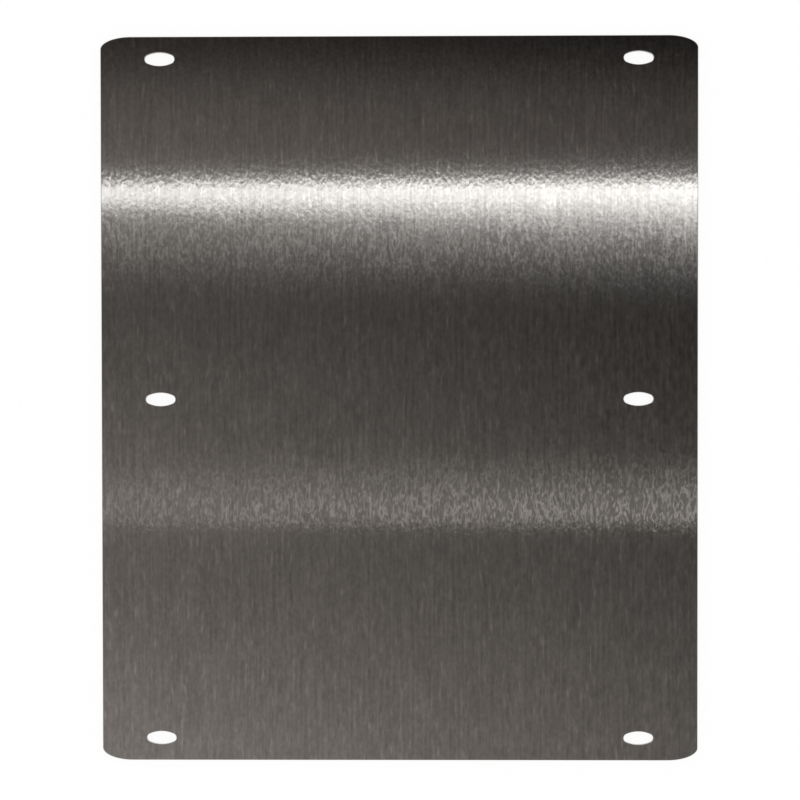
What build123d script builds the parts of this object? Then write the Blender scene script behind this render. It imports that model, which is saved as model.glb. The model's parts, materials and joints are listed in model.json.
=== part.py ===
from build123d import *
import os

# Rectangular cover plate: one flat sheet of brushed stainless steel with six oval fixing holes.
#
# Frame: X across the plate, Y along it and along its grain, Z up out of the brushed front face.
# The plate lies on its back, so the back face is on Z = 0 and the origin is under its centre.
# All sizes are in millimetres.

# Sheet
plate_width = 247.0        # across the plate
plate_length = 300.0       # along the plate
sheet_thickness = 1.5

# Corners: quarter ellipses that ease further along the short sides than along the long ones
corner_reach_x = 12.5
corner_reach_y = 5.2

# Fixing holes: four-arc ovals for M5 screws, each lying across the plate
screw_diameter = 5.0
screw_clearance = 0.5      # width of a hole's middle beyond the screw
hole_length = 12.2         # across the plate, so that the plate can be set either way
hole_bulge = 0.9           # how far a hole's long sides bow out beyond its round ends
hole_columns = 2
hole_rows = 3
hole_inset_x = 24.5        # long side to the centres of the nearest column
hole_inset_y = 9.25        # short side to the centres of the nearest row

# Edges: broken all round, outline and holes alike
front_edge_round = 0.25    # the side that shows and is handled
back_edge_bevel = 0.15     # the side that lies on the frame

# Sizes that follow from those above
half_width = plate_width / 2
half_length = plate_length / 2
hole_width = screw_diameter + screw_clearance
hole_end_radius = hole_width / 2 - hole_bulge
hole_spacing_x = (plate_width - 2 * hole_inset_x) / (hole_columns - 1)
hole_spacing_y = (plate_length - 2 * hole_inset_y) / (hole_rows - 1)


def corner_curve(side_x, side_y):
    """Quarter ellipse that joins the long side at side_x to the short side at side_y (each -1 or 1)."""
    centre = (side_x * (half_width - corner_reach_x), side_y * (half_length - corner_reach_y))
    start = {(1, 1): 0, (-1, 1): 90, (-1, -1): 180, (1, -1): 270}[side_x, side_y]
    return EllipticalCenterArc(centre, corner_reach_x, corner_reach_y, start_angle=start, arc_size=90)


def plate_outline():
    """Closed outline of the sheet: four eased corners and the four straight sides between them."""
    corners = [corner_curve(*sides) for sides in ((1, 1), (-1, 1), (-1, -1), (1, -1))]
    sides = [Line(here @ 1, after @ 0) for here, after in zip(corners, corners[1:] + corners[:1])]
    return make_face(Wire(Curve() + corners + sides))


def fixing_hole():
    """Four-arc oval: two round ends that run smoothly into two long sides, which bow outwards."""
    end_centre = hole_length / 2 - hole_end_radius
    side_radius = (end_centre**2 + hole_width**2 / 4 - hole_end_radius**2) / (2 * hole_bulge)
    side_centre = side_radius - hole_width / 2
    # a side arc and an end arc meet on the line through both of their centres
    reach = side_radius / Vector(end_centre, side_centre).length
    joint_x, joint_y = reach * end_centre, reach * side_centre - side_centre
    right, left = Vector(joint_x, joint_y), Vector(-joint_x, joint_y)
    arcs = []
    for turn in (1, -1):
        arcs.append(ThreePointArc(right * turn, Vector(0, hole_width / 2) * turn, left * turn))
        arcs.append(ThreePointArc(left * turn, Vector(-hole_length / 2, 0) * turn, right * -turn))
    return make_face(Wire(arcs))


def fixing_holes():
    """Grid of oval holes, lengthwise across the plate."""
    grid = GridLocations(hole_spacing_x, hole_spacing_y, hole_columns, hole_rows)
    return grid * fixing_hole()


def rim(plate, height):
    """Every edge that lies flat at the given height: the outline and the mouths of the holes."""
    return plate.edges().filter_by_position(Axis.Z, height, height)


def cover_plate():
    """Punched sheet with its front edges rounded and its back edges lightly bevelled."""
    blank = extrude(plate_outline() - fixing_holes(), sheet_thickness)
    rounded = fillet(rim(blank, sheet_thickness), front_edge_round)
    return chamfer(rim(rounded, 0), back_edge_bevel)


os.makedirs("parts", exist_ok=True)
export_step(cover_plate(), "parts/cover_plate.step")
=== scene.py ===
"""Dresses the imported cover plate: one punched sheet of brushed stainless steel, lying on a pale studio floor.

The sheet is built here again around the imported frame, with its true outline, holes and broken edges, so that
its brushed front, its cut edges and its mill-finished back can each have a finish of their own. Everything is
in metres: the plate's sizes are written in millimetres times MM, and the studio's in metres.
"""

import json
import logging
import math
from dataclasses import dataclass
from enum import Enum
from typing import Any

import bpy
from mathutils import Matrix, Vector


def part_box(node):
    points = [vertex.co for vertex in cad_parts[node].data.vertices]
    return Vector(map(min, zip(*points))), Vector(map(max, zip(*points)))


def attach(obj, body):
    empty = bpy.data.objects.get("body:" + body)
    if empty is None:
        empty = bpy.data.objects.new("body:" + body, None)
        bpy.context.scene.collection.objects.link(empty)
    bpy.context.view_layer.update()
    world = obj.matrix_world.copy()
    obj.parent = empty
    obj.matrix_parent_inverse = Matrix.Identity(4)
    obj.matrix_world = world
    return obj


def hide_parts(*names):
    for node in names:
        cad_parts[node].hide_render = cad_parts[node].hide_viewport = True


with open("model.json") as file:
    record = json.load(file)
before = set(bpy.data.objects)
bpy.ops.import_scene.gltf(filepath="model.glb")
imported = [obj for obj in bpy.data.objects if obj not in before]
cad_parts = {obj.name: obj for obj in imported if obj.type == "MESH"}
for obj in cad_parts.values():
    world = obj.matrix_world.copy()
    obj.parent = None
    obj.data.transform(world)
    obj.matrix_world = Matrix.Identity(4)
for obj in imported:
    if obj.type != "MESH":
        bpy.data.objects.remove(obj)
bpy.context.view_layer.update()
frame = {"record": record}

LOG = logging.getLogger("cover_plate")
MM = 0.001
CAD_NODE = "cover_plate"
BAKE_MAP = "OFBake"

MATH = "ShaderNodeMath"
VECTOR_MATH = "ShaderNodeVectorMath"
MIX_FIRST, MIX_SECOND, MIX_RESULT = 6, 7, 2  # a Mix node's sockets for colours
WHITE = (1.0, 1.0, 1.0, 1.0)

Inputs = dict[int | str, Any] | tuple[Any, ...]
Sockets = dict[str, bpy.types.NodeSocket]


class Side(Enum):
    """The three differently finished surfaces of the sheet."""

    FRONT = "brushed front"
    EDGE = "cut edge"
    BACK = "mill back"


def linear(hex_colour: str) -> tuple[float, float, float, float]:
    """Turns an sRGB hex colour into a linear one.

    Args:
        hex_colour: Six hex digits after a hash, such as "#a8a5a1".

    Returns:
        Linear red, green and blue, and an alpha of 1.
    """
    parts = [int(hex_colour[i : i + 2], 16) / 255 for i in (1, 3, 5)]
    red, green, blue = (c / 12.92 if c <= 0.04045 else ((c + 0.055) / 1.055) ** 2.4 for c in parts)
    return red, green, blue, 1.0


def grey(level: float) -> tuple[float, float, float, float]:
    """The linear grey of a brightness."""
    return level, level, level, 1.0


def add_node(tree: bpy.types.NodeTree, kind: str, inputs: Inputs = (), **settings: Any) -> bpy.types.Node:
    """Adds a node with its settings, and fills or links its inputs.

    Args:
        tree: The shader or geometry tree.
        kind: The node's type name.
        inputs: A value, or another node's output to link, for each input: by name or index, or in their order.
        **settings: The node's own properties, set before its inputs.

    Returns:
        The new node.
    """
    node = tree.nodes.new(kind)
    for name, value in settings.items():
        setattr(node, name, value)
    for key, value in inputs.items() if isinstance(inputs, dict) else enumerate(inputs):
        if isinstance(value, bpy.types.NodeSocket):
            tree.links.new(value, node.inputs[key])
        else:
            node.inputs[key].default_value = value
    return node


@dataclass(frozen=True)
class Grain:
    """One stretched random pattern in the steel's surface.

    Attributes:
        cell: Size of one mark across the sheet, along it and through it, in millimetres.
        depth: Height of the pattern from its lowest to its highest point, in millimetres.
        tone: How much the pattern moves the colour between its dark and its light.
        shine: How much the pattern moves the roughness.
        layers: Finer copies of the pattern that are added to it.
        sparse: Whether only the pattern's highest marks stand out, on a plain ground.
        sway: Slope by which the marks tip the surface from side to side, across the sheet.
    """

    cell: tuple[float, float, float]
    depth: float = 0.0
    tone: float = 0.0
    shine: float = 0.0
    layers: float = 1.0
    sparse: bool = False
    sway: float = 0.0


@dataclass(frozen=True)
class SteelFinish:
    """A bare stainless steel surface, told apart by the marks that its making left.

    Attributes:
        name: The material's name: the steel and how its surface was made.
        dark: Colour of the deepest marks, as sRGB hex.
        light: Colour of the highest ones.
        roughness: Middle roughness.
        anisotropy: How much further the marks spread a highlight across the grain than along it.
        grains: The patterns that make the marks.
    """

    SPARSE = 8.0  # lifts a sparse pattern's marks back to about the height of a full one's

    name: str
    dark: str
    light: str
    roughness: float
    anisotropy: float
    grains: tuple[Grain, ...]

    def material(self) -> bpy.types.Material:
        """Builds the material: colour, roughness and relief all come from the same marks.

        Returns:
            The material, whose patterns follow the object's own coordinates.
        """
        material = bpy.data.materials.new(self.name)
        material.use_nodes = True
        tree = material.node_tree
        shader = tree.nodes["Principled BSDF"]
        place = add_node(tree, "ShaderNodeTexCoord").outputs["Object"]
        totals: dict[str, Any] = {"depth": 0.0, "tone": 0.5, "shine": self.roughness, "sway": 0.0}
        for grain in self.grains:
            marks = self._marks(tree, place, grain)
            for name, total in totals.items():
                share = getattr(grain, name)
                if share:
                    raised = add_node(tree, MATH, (marks, share, total), operation="MULTIPLY_ADD")
                    totals[name] = raised.outputs[0]
        shades = {0: totals["tone"], MIX_FIRST: linear(self.dark), MIX_SECOND: linear(self.light)}
        colour = add_node(tree, "ShaderNodeMix", shades, data_type="RGBA").outputs[MIX_RESULT]
        relief = {"Height": totals["depth"], "Distance": MM}
        if isinstance(totals["sway"], bpy.types.NodeSocket):
            # a normal map's colour holds a level surface as a half, and a slope as half its size
            slope = add_node(tree, MATH, (totals["sway"], 0.5, 0.5), operation="MULTIPLY_ADD").outputs[0]
            slope = add_node(tree, "ShaderNodeCombineXYZ", (slope, 0.5, 1.0)).outputs[0]
            tipped = add_node(tree, "ShaderNodeNormalMap", {"Color": slope}, uv_map=BAKE_MAP)
            relief["Normal"] = tipped.outputs[0]
        bump = add_node(tree, "ShaderNodeBump", relief).outputs[0]
        tree.links.new(colour, shader.inputs["Base Color"])
        tree.links.new(totals["shine"], shader.inputs["Roughness"])
        tree.links.new(bump, shader.inputs["Normal"])
        shader.inputs["Metallic"].default_value = 1.0
        if self.anisotropy:
            across = add_node(tree, "ShaderNodeTangent", direction_type="UV_MAP", uv_map=BAKE_MAP).outputs[0]
            tree.links.new(across, shader.inputs["Tangent"])
            shader.inputs["Anisotropic"].default_value = self.anisotropy
        return material

    def _marks(
        self, tree: bpy.types.NodeTree, place: bpy.types.NodeSocket, grain: Grain
    ) -> bpy.types.NodeSocket:
        """Adds the nodes of one grain's pattern.

        Args:
            tree: The material's shader tree.
            place: Where a point of the surface is.
            grain: The grain to draw.

        Returns:
            The pattern, which lies about zero.
        """
        scale = [1 / (size * MM) for size in grain.cell]
        spot = add_node(tree, "ShaderNodeMapping", {"Vector": place, "Scale": scale}).outputs[0]
        field = {"Vector": spot, "Detail": grain.layers, "Scale": 1.0}
        noise = add_node(tree, "ShaderNodeTexNoise", field).outputs[0]
        marks = add_node(tree, MATH, (noise, 0.5), operation="SUBTRACT").outputs[0]
        if grain.sparse:
            high = add_node(tree, MATH, (marks, 0.0), operation="MAXIMUM").outputs[0]
            high = add_node(tree, MATH, (high, self.SPARSE), operation="MULTIPLY").outputs[0]
            marks = add_node(tree, MATH, (marks, high), operation="MULTIPLY").outputs[0]
        return marks


# Belt-brushed stainless steel: scratches run the length of the sheet, so they smear a lamp's reflection across
# it and keep it sharp along it, and where their walls tip sideways it breaks into short bright flecks. They are
# drawn about 1.4 mm apart, coarser than the real grit's 0.1 mm, because finer ones wouldn't show.
BRUSHED = SteelFinish(
    name="stainless_steel_belt_brushed",
    dark="#7c7b79",
    light="#c9c7c4",
    roughness=0.066,
    anisotropy=0.85,
    grains=(
        Grain(cell=(1.2, 34.0, 34.0), depth=0.004, tone=0.55, shine=0.01, layers=2.0),
        Grain(cell=(1.4, 7.0, 7.0), depth=0.004, tone=0.6, sparse=True),
        Grain(cell=(1.3, 2.0, 2.0), depth=0.007, tone=0.38),
        Grain(cell=(1.8, 5.0, 5.0), sway=0.18),
        Grain(cell=(9.0, 30.0, 30.0), tone=0.15),
    ),
)

# Sheared and deburred stainless steel: short upright tears down the wall, a little brighter than the brushed
# face.
SHEARED = SteelFinish(
    name="stainless_steel_sheared_and_deburred",
    dark="#8a8783",
    light="#c2bfba",
    roughness=0.3,
    anisotropy=0.0,
    grains=(
        Grain(cell=(0.35, 0.35, 3.0), depth=0.02, tone=1.2, shine=0.1, layers=2.0),
        Grain(cell=(6.0, 6.0, 0.5), tone=0.6),
    ),
)

# Cold-rolled 2B stainless steel: a dull even grey with faint roll lines along the sheet and soft clouds.
MILL = SteelFinish(
    name="stainless_steel_cold_rolled_2b",
    dark="#989693",
    light="#b4b2ae",
    roughness=0.32,
    anisotropy=0.3,
    grains=(
        Grain(cell=(1.6, 60.0, 60.0), depth=0.004, tone=0.6, shine=0.05),
        Grain(cell=(40.0, 70.0, 70.0), tone=0.7, shine=0.06, layers=3.0),
        Grain(cell=(0.5, 0.5, 0.5), depth=0.002, shine=0.05),
    ),
)


@dataclass(frozen=True)
class FlatSpot:
    """Where a flat face lies on the bake map.

    Attributes:
        low: The face's lower left corner on the map.
        scale: Map units for each metre.
        turn: -1 for a face that looks down, which is mirrored.
    """

    low: tuple[float, float]
    scale: float
    turn: float = 1.0


@dataclass(frozen=True)
class WallStrip:
    """Where an unrolled wall lies on the bake map.

    Attributes:
        low: The strip's lower left corner on the map.
        length: Its size along the wall.
        depth: Its size down the wall.
        pitch: Step to the next wall's strip.
    """

    low: tuple[float, float]
    length: float
    depth: float
    pitch: float = 0.0


class MapLayout:
    """The bake map: the front takes most of it, the back and the holes' walls stand beside it."""

    FRONT = FlatSpot(low=(0.008, 0.008), scale=3.0)
    BACK = FlatSpot(low=(0.762, 0.008), scale=0.93, turn=-1.0)
    HOLE_WALLS = WallStrip(low=(0.762, 0.31), length=0.23, depth=0.08, pitch=0.1)
    OUTLINE_WALL = WallStrip(low=(0.008, 0.925), length=0.984, depth=0.06)


class SheetTree:
    """Geometry Nodes that draw a punched sheet from its sizes.

    The edge's section is swept round the outline and round every hole, and the flat front and back are filled
    in between the loops that it leaves open.
    """

    FLAT = 0.999  # the upward part of a face's normal, past which it belongs to the flat front or back
    SEAM = 0.25  # a corner this share of its loop or more behind its face's middle lies across the seam
    WELD = 0.001 * MM  # points closer than this become one

    def __init__(self, sizes: dict[str, float | int], finishes: dict[Side, bpy.types.Material]) -> None:
        """Builds the whole tree.

        Args:
            sizes: Each named input and its value.
            finishes: The material of each side.
        """
        self.sizes = sizes
        self.tree = bpy.data.node_groups.new("punched_sheet", "GeometryNodeTree")
        self.sockets = {}
        for name, value in sizes.items():
            kind = "NodeSocketInt" if isinstance(value, int) else "NodeSocketFloat"
            self.sockets[name] = self.tree.interface.new_socket(name, in_out="INPUT", socket_type=kind)
        self.tree.interface.new_socket("Sheet", in_out="OUTPUT", socket_type="NodeSocketGeometry")
        self.size = self.tree.nodes.new("NodeGroupInput").outputs
        loops, along = self._loops()
        section, down = self._section()
        walls = self._out("GeometryNodeCurveToMesh", {"Curve": loops, "Profile Curve": section})
        sheet = self._closed(walls)
        sheet = self._mapped(sheet, along, down)
        sheet = self._dressed(sheet, finishes)
        add_node(self.tree, "NodeGroupOutput", (sheet,))

    def _out(self, kind: str, inputs: Inputs = (), **settings: Any) -> bpy.types.NodeSocket:
        """Adds a node and returns its first output."""
        return add_node(self.tree, kind, inputs, **settings).outputs[0]

    def _rounded(self, width: Any, height: Any, radius: Any) -> bpy.types.NodeSocket:
        """Draws a rectangle about the origin with its corners rounded.

        Args:
            width: Its size along X.
            height: Its size along Y.
            radius: The radius of its corners.

        Returns:
            The rectangle as a closed curve.
        """
        box = self._out("GeometryNodeCurvePrimitiveQuadrilateral", {"Width": width, "Height": height})
        return self._out(
            "GeometryNodeFilletCurve",
            {"Curve": box, "Radius": radius, "Count": self.size["Arc Steps"], "Limit Radius": True},
            mode="POLY",
        )

    def _oval(self) -> bpy.types.NodeSocket:
        """Draws a four-arc oval about the origin: a circle whose points move out to the arc that they face.

        Returns:
            The oval as a closed curve.
        """
        end, bulge = self.size["Hole End Radius"], self.size["Hole Bulge"]
        half_width = self._out(MATH, (end, bulge), operation="ADD")
        half_length = self._out(MATH, (self.size["Hole Length"], 0.5), operation="MULTIPLY")
        end_centre = self._out(MATH, (half_length, end), operation="SUBTRACT")

        end_square = self._out(MATH, (end, end), operation="MULTIPLY")
        squares = self._out(MATH, (half_width, half_width), operation="MULTIPLY")
        squares = self._out(MATH, (end_centre, end_centre, squares), operation="MULTIPLY_ADD")
        squares = self._out(MATH, (squares, end_square), operation="SUBTRACT")
        bulge_twice = self._out(MATH, (bulge, 2.0), operation="MULTIPLY")
        side = self._out(MATH, (squares, bulge_twice), operation="DIVIDE")
        side_centre = self._out(MATH, (side, half_width), operation="SUBTRACT")

        points = self._out(MATH, (self.size["Arc Steps"], 4.0), operation="MULTIPLY")
        circle = self._out("GeometryNodeCurvePrimitiveCircle", {"Resolution": points, "Radius": 1.0})
        position = self._out("GeometryNodeInputPosition")
        way = add_node(self.tree, "ShaderNodeSeparateXYZ", (position,)).outputs
        reach, centre, on_end, on_side = {}, {}, {}, {}
        for axis, far in (("X", end_centre), ("Y", side_centre)):
            reach[axis] = self._out(MATH, (way[axis],), operation="ABSOLUTE")
            sign = self._out(MATH, (way[axis],), operation="SIGN")
            centre[axis] = self._out(MATH, (sign, far), operation="MULTIPLY")
            on_end[axis] = self._out(MATH, (way[axis], end), operation="MULTIPLY")
            on_side[axis] = self._out(MATH, (way[axis], side), operation="MULTIPLY")
        on_end["X"] = self._out(MATH, (centre["X"], on_end["X"]), operation="ADD")
        on_side["Y"] = self._out(MATH, (on_side["Y"], centre["Y"]), operation="SUBTRACT")

        steep = self._out(MATH, (reach["Y"], end_centre), operation="MULTIPLY")
        shallow = self._out(MATH, (reach["X"], side_centre), operation="MULTIPLY")
        faces_side = self._out(MATH, (steep, shallow), operation="GREATER_THAN")
        places = [self._out("ShaderNodeCombineXYZ", arc) for arc in (on_end, on_side)]
        place = self._out("GeometryNodeSwitch", (faces_side, *places), input_type="VECTOR")
        return self._out("GeometryNodeSetPosition", {"Geometry": circle, "Position": place})

    def _loops(self) -> tuple[bpy.types.NodeSocket, Sockets]:
        """Draws the outline and the holes.

        Returns:
            Their closed curves, and each point's distance round its own loop.
        """
        size = self.size
        stretch = self._out(MATH, (size["Corner Reach X"], size["Corner Reach Y"]), operation="DIVIDE")
        narrow = self._out(MATH, (size["Width"], stretch), operation="DIVIDE")
        rounded = self._rounded(narrow, size["Length"], size["Corner Reach Y"])
        scale = self._out("ShaderNodeCombineXYZ", {"X": stretch, "Y": 1.0, "Z": 1.0})
        outline = self._out("GeometryNodeTransform", {"Geometry": rounded, "Scale": scale})
        hole = self._out("GeometryNodeReverseCurve", {"Curve": self._oval()})
        grid = {}
        for axis, count in (("X", "Columns"), ("Y", "Rows")):
            gaps = self._out(MATH, (size[count], 1.0), operation="SUBTRACT")
            grid[f"Size {axis}"] = self._out(MATH, (gaps, size[f"Spacing {axis}"]), operation="MULTIPLY")
            grid[f"Vertices {axis}"] = size[count]
        centres = self._out("GeometryNodeMeshGrid", grid)
        holes = self._out("GeometryNodeInstanceOnPoints", {"Points": centres, "Instance": hole})
        join = add_node(self.tree, "GeometryNodeJoinGeometry", (outline,))
        self.tree.links.new(self._out("GeometryNodeRealizeInstances", {"Geometry": holes}), join.inputs[0])
        upright = self._out("GeometryNodeSetCurveNormal", {"Curve": join.outputs[0]}, mode="Z_UP")
        return self._captured(upright, "round")

    def _section(self) -> tuple[bpy.types.NodeSocket, Sockets]:
        """Draws the edge's section, from the flat front over the rounding and down the wall to the flat back.

        Returns:
            Its open curve, and each point's distance along it.
        """
        size = self.size
        reach = self._out(MATH, (size["Front Round"], size["Flat Margin"]), operation="ADD")
        inward = self._out(MATH, (reach, -1.0), operation="MULTIPLY")
        bevelled = self._out(MATH, (size["Back Bevel"], -1.0), operation="MULTIPLY")
        corners = [
            (inward, size["Thickness"]),
            (0.0, size["Thickness"]),
            (0.0, size["Back Bevel"]),
            (bevelled, 0.0),
            (inward, 0.0),
        ]
        index = self._out("GeometryNodeInputIndex")
        choice = add_node(self.tree, "GeometryNodeIndexSwitch", {"Index": index}, data_type="VECTOR")
        while len(choice.index_switch_items) < len(corners):
            choice.index_switch_items.new()
        for i, (out, up) in enumerate(corners):
            down = self._out(MATH, (up, -1.0), operation="MULTIPLY")
            point = self._out("ShaderNodeCombineXYZ", {"X": out, "Y": down})
            self.tree.links.new(point, choice.inputs[i + 1])
        line = self._out("GeometryNodeMeshLine", {"Count": len(corners)})
        bent = self._out("GeometryNodeSetPosition", {"Geometry": line, "Position": choice.outputs[0]})
        bent = self._out("GeometryNodeMeshToCurve", {"Mesh": bent})
        is_front = self._out("FunctionNodeCompare", {2: index, 3: 1}, data_type="INT", operation="EQUAL")
        radius = self._out(MATH, (size["Front Round"], is_front), operation="MULTIPLY")
        curve = self._out(
            "GeometryNodeFilletCurve",
            {"Curve": bent, "Radius": radius, "Count": size["Round Steps"], "Limit Radius": True},
            mode="POLY",
        )
        return self._captured(curve, "down")

    def _captured(self, curve: bpy.types.NodeSocket, name: str) -> tuple[bpy.types.NodeSocket, Sockets]:
        """Keeps distances along a curve for the mesh that is made from it.

        Args:
            curve: The curve.
            name: What the distances are called.

        Returns:
            The curve, and each point's distance along it ("at") with the curve's whole length ("of").
        """
        capture = self.tree.nodes.new("GeometryNodeCaptureAttribute")
        self.tree.links.new(curve, capture.inputs[0])
        distance = add_node(self.tree, "GeometryNodeSplineParameter").outputs["Length"]
        whole = add_node(self.tree, "GeometryNodeSplineLength").outputs["Length"]
        kept = {}
        for key, value in (("at", distance), ("of", whole)):
            capture.capture_items.new("FLOAT", f"{name} {key}")
            self.tree.links.new(value, capture.inputs[f"{name} {key}"])
            kept[key] = capture.outputs[f"{name} {key}"]
        return capture.outputs[0], kept

    def _closed(self, walls: bpy.types.NodeSocket) -> bpy.types.NodeSocket:
        """Fills the flat front and back between the walls' open loops, and welds them on.

        Args:
            walls: The mesh of all the walls.

        Returns:
            The closed sheet.
        """
        faces = self._out("GeometryNodeInputMeshEdgeNeighbors")
        open_edge = self._out("FunctionNodeCompare", {2: faces, 3: 1}, data_type="INT", operation="EQUAL")
        position = self._out("GeometryNodeInputPosition")
        up = add_node(self.tree, "ShaderNodeSeparateXYZ", (position,)).outputs["Z"]
        middle = self._out(MATH, (self.size["Thickness"], 0.5), operation="MULTIPLY")
        join = add_node(self.tree, "GeometryNodeJoinGeometry", (walls,))
        for side, operation in ((Side.FRONT, "GREATER_THAN"), (Side.BACK, "LESS_THAN")):
            on_side = self._out("FunctionNodeCompare", (up, middle), data_type="FLOAT", operation=operation)
            rim = self._out("FunctionNodeBooleanMath", (open_edge, on_side), operation="AND")
            loop = self._out("GeometryNodeMeshToCurve", {"Mesh": walls, "Selection": rim})
            flat = self._out("GeometryNodeFillCurve", {"Curve": loop}, mode="TRIANGLES")
            if side is Side.FRONT:
                lift = self._out("ShaderNodeCombineXYZ", {"Z": self.size["Thickness"]})
                flat = self._out("GeometryNodeTransform", {"Geometry": flat, "Translation": lift})
            else:
                flat = self._out("GeometryNodeFlipFaces", {"Mesh": flat})
            self.tree.links.new(flat, join.inputs[0])
        welded = {"Geometry": join.outputs[0], "Distance": self.WELD}
        return self._out("GeometryNodeMergeByDistance", welded)

    def _is_flat(self, side: Side) -> bpy.types.NodeSocket:
        """Tells whether a face belongs to the flat front or back.

        Args:
            side: Which of the two.

        Returns:
            True on its faces.
        """
        normal = self._out("GeometryNodeInputNormal")
        up = add_node(self.tree, "ShaderNodeSeparateXYZ", (normal,)).outputs["Z"]
        limit, operation = (self.FLAT, "GREATER_THAN") if side is Side.FRONT else (-self.FLAT, "LESS_THAN")
        flat = self._out("FunctionNodeCompare", (up, limit), data_type="FLOAT", operation=operation)
        return self._out("GeometryNodeFieldOnDomain", {"Value": flat}, domain="FACE", data_type="BOOLEAN")

    def _mapped(self, sheet: bpy.types.NodeSocket, along: Sockets, down: Sockets) -> bpy.types.NodeSocket:
        """Lays the surfaces out flat, with the brushed front as large as it can be.

        Args:
            sheet: The closed sheet.
            along: Each point's distance round its loop, and the loop's length.
            down: Each point's distance along the edge's section, and the section's length.

        Returns:
            The sheet with its bake map.
        """
        position = self._out("GeometryNodeInputPosition")
        chosen = self._unrolled(along, down)
        for side, spot in ((Side.BACK, MapLayout.BACK), (Side.FRONT, MapLayout.FRONT)):
            flat = self._placed(position, spot)
            chosen = self._out("GeometryNodeSwitch", (self._is_flat(side), chosen, flat), input_type="VECTOR")
        return self._out(
            "GeometryNodeStoreNamedAttribute",
            {"Geometry": sheet, "Name": BAKE_MAP, "Value": chosen},
            data_type="FLOAT2",
            domain="CORNER",
        )

    def _placed(self, position: bpy.types.NodeSocket, spot: FlatSpot) -> bpy.types.NodeSocket:
        """Finds where a point of a flat face goes on the map: scaled, and moved to the face's own spot.

        Args:
            position: The point.
            spot: The face's spot.

        Returns:
            The point's place on the map.
        """
        scale = (spot.turn * spot.scale, spot.scale, 0.0)
        half = (self.sizes["Width"] / 2, self.sizes["Length"] / 2)
        middle = (spot.low[0] + half[0] * spot.scale, spot.low[1] + half[1] * spot.scale, 0.0)
        scaled = self._out(VECTOR_MATH, (position, scale), operation="MULTIPLY")
        return self._out(VECTOR_MATH, (scaled, middle), operation="ADD")

    def _unrolled(self, along: Sockets, down: Sockets) -> bpy.types.NodeSocket:
        """Finds where a point of a wall goes on the map: each loop's wall is unrolled into a strip of its own.

        Args:
            along: Each point's distance round its loop, and the loop's length.
            down: Each point's distance along the edge's section, and the section's length.

        Returns:
            The point's place on the map.
        """
        face_middle = {"Value": along["at"]}
        face_middle = self._out("GeometryNodeFieldOnDomain", face_middle, domain="FACE", data_type="FLOAT")
        lag = self._out(MATH, (face_middle, along["at"]), operation="SUBTRACT")
        most = self._out(MATH, (along["of"], self.SEAM), operation="MULTIPLY")
        wraps = self._out(MATH, (lag, most), operation="GREATER_THAN")
        share = self._out(MATH, (along["at"], along["of"]), operation="DIVIDE")
        share = self._out(MATH, (share, wraps), operation="ADD")
        depth = self._out(MATH, (down["at"], down["of"]), operation="DIVIDE")

        position = self._out("GeometryNodeInputPosition")
        place = add_node(self.tree, "ShaderNodeSeparateXYZ", (position,)).outputs
        row = self._out(MATH, (place["Y"], self.size["Spacing Y"]), operation="DIVIDE")
        row = self._out(MATH, (row,), operation="ROUND")
        row = self._out(MATH, (row, 1.0), operation="ADD")
        column = self._out(MATH, (place["X"], 0.0), operation="GREATER_THAN")
        number = self._out(MATH, (column, float(self.sizes["Rows"]), row), operation="MULTIPLY_ADD")
        is_hole = self._out(MATH, (along["of"], self.size["Width"]), operation="LESS_THAN")
        strips = []
        for strip, step in ((MapLayout.OUTLINE_WALL, 0.0), (MapLayout.HOLE_WALLS, number)):
            u = self._out(MATH, (share, strip.length, strip.low[0]), operation="MULTIPLY_ADD")
            v = self._out(MATH, (depth, strip.depth, strip.low[1]), operation="MULTIPLY_ADD")
            v = self._out(MATH, (step, strip.pitch, v), operation="MULTIPLY_ADD")
            strips.append(self._out("ShaderNodeCombineXYZ", {"X": u, "Y": v}))
        return self._out("GeometryNodeSwitch", (is_hole, *strips), input_type="VECTOR")

    def _dressed(
        self, sheet: bpy.types.NodeSocket, finishes: dict[Side, bpy.types.Material]
    ) -> bpy.types.NodeSocket:
        """Smooths the rounded edges, keeps the flats flat and gives each side its finish.

        Args:
            sheet: The closed sheet.
            finishes: The material of each side.

        Returns:
            The finished sheet.
        """
        flats = {side: self._is_flat(side) for side in (Side.FRONT, Side.BACK)}
        curved = self._out("FunctionNodeBooleanMath", tuple(flats.values()), operation="NOR")
        sheet = self._out("GeometryNodeSetShadeSmooth", {"Geometry": sheet, "Shade Smooth": curved})
        sheet = self._out("GeometryNodeRealizeInstances", {"Geometry": sheet})
        edge = {"Geometry": sheet, "Material": finishes[Side.EDGE]}
        sheet = self._out("GeometryNodeSetMaterial", edge)
        for side, flat in flats.items():
            face = {"Geometry": sheet, "Selection": flat, "Material": finishes[side]}
            sheet = self._out("GeometryNodeSetMaterial", face)
        return sheet


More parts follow.
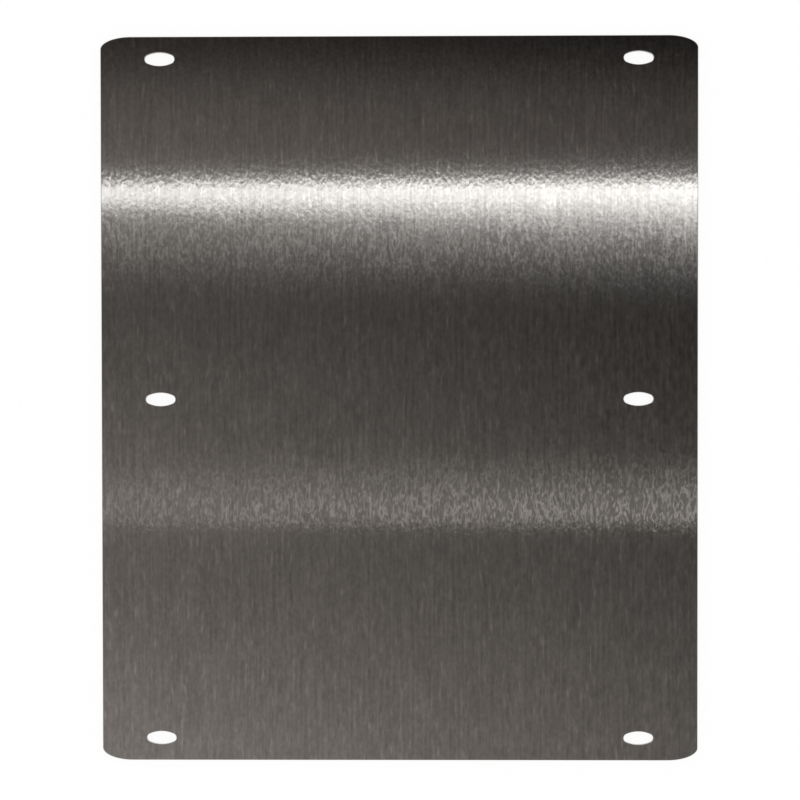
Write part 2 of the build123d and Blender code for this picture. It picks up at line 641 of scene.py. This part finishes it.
@dataclass
class CoverPlate:
    """The whole object: one punched sheet, brushed on its front.

    Attributes:
        low: The sheet's lowest corner.
        high: The sheet's highest corner.
        mounts: The record's mounts by name, which give the holes.
        columns: Columns of holes.
        corner_reach_x: How far each corner eases along the short sides.
        corner_reach_y: How far each corner eases along the long sides.
        hole_bulge: How far a hole's long sides bow out beyond its round ends.
        front_round: Radius of the rounding round the front.
        back_bevel: Width of the bevel round the back.
        flat_margin: Width of the flat ring between the front's rounding and its one large face.
        arc_steps: Facets of each corner, and of each quarter of a hole.
        round_steps: Facets of the front's rounding.
    """

    low: Vector
    high: Vector
    mounts: dict[str, dict[str, Any]]
    columns: int = 2
    corner_reach_x: float = 12.5 * MM
    corner_reach_y: float = 5.2 * MM
    hole_bulge: float = 0.9 * MM
    front_round: float = 0.25 * MM
    back_bevel: float = 0.15 * MM
    flat_margin: float = 0.3 * MM
    arc_steps: int = 24
    round_steps: int = 5

    def sizes(self) -> dict[str, float | int]:
        """Works out the sheet's sizes.

        Returns:
            Every named input of the sheet's tree.
        """
        size = self.high - self.low
        holes = self.mounts["corner_holes"]["dims"]
        rows = (holes["count"] + self.mounts["middle_holes"]["dims"]["count"]) // self.columns
        return {
            "Width": size.x,
            "Length": size.y,
            "Thickness": size.z,
            "Corner Reach X": self.corner_reach_x,
            "Corner Reach Y": self.corner_reach_y,
            "Hole Length": holes["slot_length_mm"] * MM,
            "Hole End Radius": holes["hole_r_mm"] * MM,
            "Hole Bulge": self.hole_bulge,
            "Spacing X": holes["spacing_x_mm"] * MM / (self.columns - 1),
            "Spacing Y": holes["spacing_y_mm"] * MM / (rows - 1),
            "Columns": self.columns,
            "Rows": rows,
            "Front Round": self.front_round,
            "Back Bevel": self.back_bevel,
            "Flat Margin": self.flat_margin,
            "Arc Steps": self.arc_steps,
            "Round Steps": self.round_steps,
        }

    def build(self) -> bpy.types.Object:
        """Draws the sheet, dresses its three kinds of surface and puts it on the root body.

        Returns:
            The sheet.
        """
        finishes = {Side.FRONT: BRUSHED, Side.EDGE: SHEARED, Side.BACK: MILL}
        sheet = SheetTree(self.sizes(), {side: finish.material() for side, finish in finishes.items()})
        piece = bpy.data.objects.new("plate_sheet", bpy.data.meshes.new("plate_blank"))
        bpy.context.scene.collection.objects.link(piece)
        modifier = piece.modifiers.new("punched_sheet", "NODES")
        modifier.node_group = sheet.tree
        for name, value in sheet.sizes.items():
            modifier[sheet.sockets[name].identifier] = value
        depsgraph = bpy.context.evaluated_depsgraph_get()
        drawn = bpy.data.meshes.new_from_object(
            piece.evaluated_get(depsgraph), preserve_all_data_layers=True, depsgraph=depsgraph
        )
        piece.modifiers.remove(modifier)
        piece.data = drawn
        drawn.name = piece.name
        while None in drawn.materials[:]:
            drawn.materials.pop(index=drawn.materials[:].index(None))
        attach(piece, "root")
        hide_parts(CAD_NODE)
        return piece


@dataclass(frozen=True)
class Glow:
    """One soft band of light across the ceiling card.

    Attributes:
        at: Place of its brightest line along Y, in metres.
        ahead: How far it fades towards +Y.
        behind: How far it fades towards -Y.
        level: Its brightness.
        bell: Shape of the fade: 1 is pointed, 2 a bell, more a flat top.
        lean: Share by which it brightens for each metre towards +X.
        widen: Share by which its fade behind grows for each metre towards +X.
        lamps: How much of it stands in a row of lamps along X, where 0 is an even band.
        colour: Its colour, as sRGB hex.
    """

    LAMP_STEP = 0.14  # from one lamp of a row to the next, in metres
    LAMP_POINT = 4.0  # how closely a lamp's light keeps to its middle
    LAMP_MEAN = 4.375  # mean of one plus a cosine, to that power

    at: float
    ahead: float
    behind: float
    level: float
    bell: float = 2.0
    lean: float = 0.0
    widen: float = 0.0
    lamps: float = 0.0
    colour: str = "#ffffff"

    def light(
        self, tree: bpy.types.NodeTree, x: bpy.types.NodeSocket, y: bpy.types.NodeSocket
    ) -> bpy.types.NodeSocket:
        """Adds the nodes that work out the band's light at a point of the card.

        Args:
            tree: The card's shader tree.
            x: The point's place along X.
            y: The point's place along Y.

        Returns:
            The band's light there, as a colour.
        """
        offset = add_node(tree, MATH, (y, self.at), operation="SUBTRACT").outputs[0]
        widened = (x, self.widen * self.behind, self.behind)
        reach = add_node(tree, MATH, widened, operation="MULTIPLY_ADD").outputs[0]
        distance: Any = 0.0
        for part, fades in (("MAXIMUM", self.ahead), ("MINIMUM", reach)):
            way = add_node(tree, MATH, (offset, 0.0), operation=part).outputs[0]
            way = add_node(tree, MATH, (way, fades), operation="DIVIDE").outputs[0]
            distance = add_node(tree, MATH, (distance, way), operation="ADD").outputs[0]
        fade = add_node(tree, MATH, (distance,), operation="ABSOLUTE").outputs[0]
        fade = add_node(tree, MATH, (fade, self.bell), operation="POWER").outputs[0]
        fade = add_node(tree, MATH, (fade, -1.0), operation="MULTIPLY").outputs[0]
        fade = add_node(tree, MATH, (fade,), operation="EXPONENT").outputs[0]
        leaned = (x, self.lean * self.level, self.level)
        share = add_node(tree, MATH, leaned, operation="MULTIPLY_ADD").outputs[0]
        share = add_node(tree, MATH, (share, 0.0), operation="MAXIMUM").outputs[0]
        if self.lamps:
            turn = add_node(tree, MATH, (x, math.tau / self.LAMP_STEP), operation="MULTIPLY").outputs[0]
            row = add_node(tree, MATH, (turn,), operation="COSINE").outputs[0]
            row = add_node(tree, MATH, (row, 1.0), operation="ADD").outputs[0]
            row = add_node(tree, MATH, (row, self.LAMP_POINT), operation="POWER").outputs[0]
            part_lit = (row, self.lamps / self.LAMP_MEAN, 1.0 - self.lamps)
            row = add_node(tree, MATH, part_lit, operation="MULTIPLY_ADD").outputs[0]
            share = add_node(tree, MATH, (share, row), operation="MULTIPLY").outputs[0]
        strength = add_node(tree, MATH, (fade, share), operation="MULTIPLY").outputs[0]
        tint = add_node(tree, "ShaderNodeCombineXYZ", linear(self.colour)[:3]).outputs[0]
        return add_node(tree, VECTOR_MATH, {0: tint, "Scale": strength}, operation="SCALE").outputs[0]


@dataclass
class Studio:
    """White floor and surroundings, a graded ceiling card for the steel to mirror, and two softboxes.

    Attributes:
        floor_half: Half the floor's side.
        floor_gap: Gap under the sheet, so that the two faces don't touch.
        floor_glow: The floor's own light where it is seen or mirrored, a little under white.
        floor_seen: Brightness of its colour there, which takes the lamps' light and the shadow.
        floor_paper: Brightness of its colour for all other light.
        card_height: Height of the ceiling card.
        card_half: Half the card's side.
        card_fade: Distance from its middle at which the card starts to fade to the room's brightness.
        card_room: Distance from its middle from which the card has the room's brightness.
        horizon: Upward part of a direction up to which the surroundings are white.
        overhead: Upward part of a direction from which they are as bright as the ceiling.
        ceiling: Brightness of the surroundings overhead, where the horizon is 1.
        softbox_sides: Sides of each softbox.
        softbox_out: Distance of each softbox from the middle along X.
        softbox_height: Height of each softbox.
        softbox_power: Power of each softbox, in watts.
        glows: The bands of light on the card.
    """

    floor_half: float = 12.0
    floor_gap: float = 0.0002
    floor_glow: float = 0.9
    floor_seen: float = 0.2
    floor_paper: float = 0.9
    card_height: float = 1.15
    card_half: float = 1.5
    card_fade: float = 0.46
    card_room: float = 1.1
    horizon: float = 0.1
    overhead: float = 0.5
    ceiling: float = 0.5
    softbox_sides: tuple[float, float] = (1.2, 2.0)
    softbox_out: float = 2.2
    softbox_height: float = 1.3
    softbox_power: float = 2.0
    glows: tuple[Glow, ...] = (
        Glow(at=0.0, ahead=9.0, behind=9.0, level=0.02, lean=-2.0, colour="#fff5ef"),
        Glow(at=-0.46, ahead=0.33, behind=0.6, level=0.35, bell=1.5, lean=-0.95, colour="#fff6f0"),
        Glow(at=-0.1, ahead=0.27, behind=0.07, level=0.065, lean=-1.7, colour="#fff6f0"),
        Glow(at=0.2, ahead=0.12, behind=0.004, level=0.132, bell=4.0, lean=-0.65, colour="#fff3ec"),
        Glow(at=0.2, ahead=0.004, behind=0.079, level=0.13, bell=4.0, lean=-0.5, lamps=0.36, colour="#fff3ec"),
        Glow(at=0.194, ahead=0.010, behind=0.027, level=1.1, bell=3.0, lean=-0.3, widen=1.1),
        Glow(at=0.194, ahead=0.009, behind=0.018, level=1.5, bell=1.0, lean=1.0, widen=0.4),
        Glow(at=0.155, ahead=0.018, behind=0.044, level=0.19, lean=1.3, lamps=0.36),
        Glow(at=-0.14, ahead=0.043, behind=0.009, level=0.23, bell=2.2, lean=1.3, lamps=0.5, colour="#fffaf6"),
    )

    def build(self) -> None:
        """Makes the surroundings, the floor, the card and the lamps."""
        self._world()
        self._sheet("studio_floor", self.floor_half, -self.floor_gap, self._floor_material())
        self._sheet("ceiling_card", self.card_half, self.card_height, self._card_material())
        for side in (-1, 1):
            self._softbox(side)

    def _world(self) -> None:
        """Makes the surroundings: white at the horizon and dimmer overhead, alike for the eye and the steel."""
        world = bpy.data.worlds.new("white_room")
        world.use_nodes = True
        tree = world.node_tree
        way = add_node(tree, "ShaderNodeTexCoord").outputs["Generated"]
        up = add_node(tree, "ShaderNodeSeparateXYZ", (way,)).outputs["Z"]
        dimmed = add_node(
            tree,
            "ShaderNodeMapRange",
            {
                "Value": up,
                "From Min": self.horizon,
                "From Max": self.overhead,
                "To Min": 1.0,
                "To Max": self.ceiling,
            },
            interpolation_type="SMOOTHSTEP",
        ).outputs[0]
        tree.nodes["Background"].inputs["Color"].default_value = WHITE
        tree.links.new(dimmed, tree.nodes["Background"].inputs["Strength"])
        bpy.context.scene.world = world

    def _sheet(self, name: str, half: float, height: float, material: bpy.types.Material) -> None:
        """Makes a flat square of the studio.

        Args:
            name: The object's name.
            half: Half its side.
            height: Its height above the sheet's back.
            material: Its material.
        """
        mesh = bpy.data.meshes.new(name)
        corners = [(x * half, y * half, height) for x, y in ((-1, -1), (1, -1), (1, 1), (-1, 1))]
        mesh.from_pydata(corners, [], [(0, 1, 2, 3)])
        mesh.materials.append(material)
        square = bpy.data.objects.new(name, mesh)
        bpy.context.scene.collection.objects.link(square)

    def _floor_material(self) -> bpy.types.Material:
        """Makes matt white paper: almost white by itself where it is seen, and the lamps add the rest.

        Its shadow stays, because only the lamps' share is missing there. It is clear from below.

        Returns:
            The material.
        """
        material = bpy.data.materials.new("white_paper_floor")
        material.use_nodes = True
        tree = material.node_tree
        tree.nodes.clear()
        path = add_node(tree, "ShaderNodeLightPath").outputs
        seen = path["Is Camera Ray"]
        for kind in ("Is Glossy Ray", "Is Transmission Ray"):
            seen = add_node(tree, MATH, (seen, path[kind]), operation="MAXIMUM").outputs[0]
        own = add_node(tree, MATH, (seen, self.floor_glow), operation="MULTIPLY").outputs[0]
        shades = {0: seen, MIX_FIRST: grey(self.floor_paper), MIX_SECOND: grey(self.floor_seen)}
        colour = add_node(tree, "ShaderNodeMix", shades, data_type="RGBA").outputs[MIX_RESULT]
        paper = add_node(tree, "ShaderNodeBsdfDiffuse", {"Color": colour}).outputs[0]
        white = add_node(tree, "ShaderNodeEmission", {"Color": WHITE, "Strength": own}).outputs[0]
        lit = add_node(tree, "ShaderNodeAddShader", (paper, white)).outputs[0]
        below = add_node(tree, "ShaderNodeNewGeometry").outputs["Backfacing"]
        clear = add_node(tree, "ShaderNodeBsdfTransparent").outputs[0]
        one_sided = add_node(tree, "ShaderNodeMixShader", (below, lit, clear)).outputs[0]
        add_node(tree, "ShaderNodeOutputMaterial", (one_sided,))
        return material

    def _card_material(self) -> bpy.types.Material:
        """Makes the card's own light: dim, with its bands, and fading to the room overhead towards its edges.

        Returns:
            The material.
        """
        material = bpy.data.materials.new("graded_ceiling_card")
        material.use_nodes = True
        tree = material.node_tree
        tree.nodes.clear()
        place = add_node(tree, "ShaderNodeTexCoord").outputs["Object"]
        flat = add_node(tree, VECTOR_MATH, (place, (1.0, 1.0, 0.0)), operation="MULTIPLY").outputs[0]
        split = add_node(tree, "ShaderNodeSeparateXYZ", (flat,)).outputs
        total: Any = (0.0, 0.0, 0.0)
        for glow in self.glows:
            light = glow.light(tree, split["X"], split["Y"])
            total = add_node(tree, VECTOR_MATH, (light, total), operation="ADD").outputs[0]
        distance = add_node(tree, VECTOR_MATH, (flat,), operation="LENGTH").outputs["Value"]
        outside = add_node(
            tree,
            "ShaderNodeMapRange",
            {"Value": distance, "From Min": self.card_fade, "From Max": self.card_room},
            interpolation_type="SMOOTHSTEP",
        ).outputs[0]
        shades = {0: outside, MIX_FIRST: total, MIX_SECOND: grey(self.ceiling)}
        colour = add_node(tree, "ShaderNodeMix", shades, data_type="RGBA").outputs[MIX_RESULT]
        lamp = add_node(tree, "ShaderNodeEmission", {"Color": colour, "Strength": 1.0}).outputs[0]
        add_node(tree, "ShaderNodeOutputMaterial", (lamp,))
        return material

    def _softbox(self, side: int) -> None:
        """Adds a softbox beyond the card on one side, out of the front's mirror view.

        Args:
            side: -1 for the left one, 1 for the right one.
        """
        light = bpy.data.lights.new(f"softbox_{'left' if side < 0 else 'right'}", "AREA")
        light.shape = "RECTANGLE"
        light.size, light.size_y = self.softbox_sides
        light.energy = self.softbox_power
        lamp = bpy.data.objects.new(light.name, light)
        lamp.location = (side * self.softbox_out, 0.0, self.softbox_height)
        lamp.rotation_euler = (-lamp.location).to_track_quat("-Z", "Y").to_euler()
        bpy.context.scene.collection.objects.link(lamp)


@dataclass
class ViewPoint:
    """The camera, almost square above the sheet.

    Attributes:
        place: Where it stands, in metres.
        turn: Its turn about X, Y and Z from looking straight down, in degrees.
        lens: Focal length, in millimetres.
        sensor: Width of the sensor, in millimetres.
    """

    place: tuple[float, float, float] = (0.0108, 0.0130, 0.7835)
    turn: tuple[float, float, float] = (-0.978, 0.765, -0.079)
    lens: float = 85.0
    sensor: float = 36.0

    def build(self) -> None:
        """Makes the camera and gives it to the scene."""
        camera = bpy.data.objects.new("camera", bpy.data.cameras.new("camera"))
        camera.data.lens = self.lens
        camera.data.sensor_width = self.sensor
        camera.location = self.place
        camera.rotation_euler = [math.radians(angle) for angle in self.turn]
        bpy.context.scene.collection.objects.link(camera)
        bpy.context.scene.camera = camera


def main() -> None:
    """Builds the plate, the studio and the camera, and reports each."""
    logging.basicConfig(level=logging.INFO, format="%(name)s: %(message)s")
    bpy.context.scene.view_settings.view_transform = "Standard"
    mounts = {mount["name"]: mount for mount in frame["record"]["mounts"]}
    low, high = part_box(CAD_NODE)
    piece = CoverPlate(Vector(low), Vector(high), mounts).build()
    LOG.info("%s: %d faces, %d finishes", piece.name, len(piece.data.polygons), len(piece.data.materials))
    Studio().build()
    LOG.info("studio built")
    ViewPoint().build()
    LOG.info("camera placed")


if __name__ == "__main__":
    main()
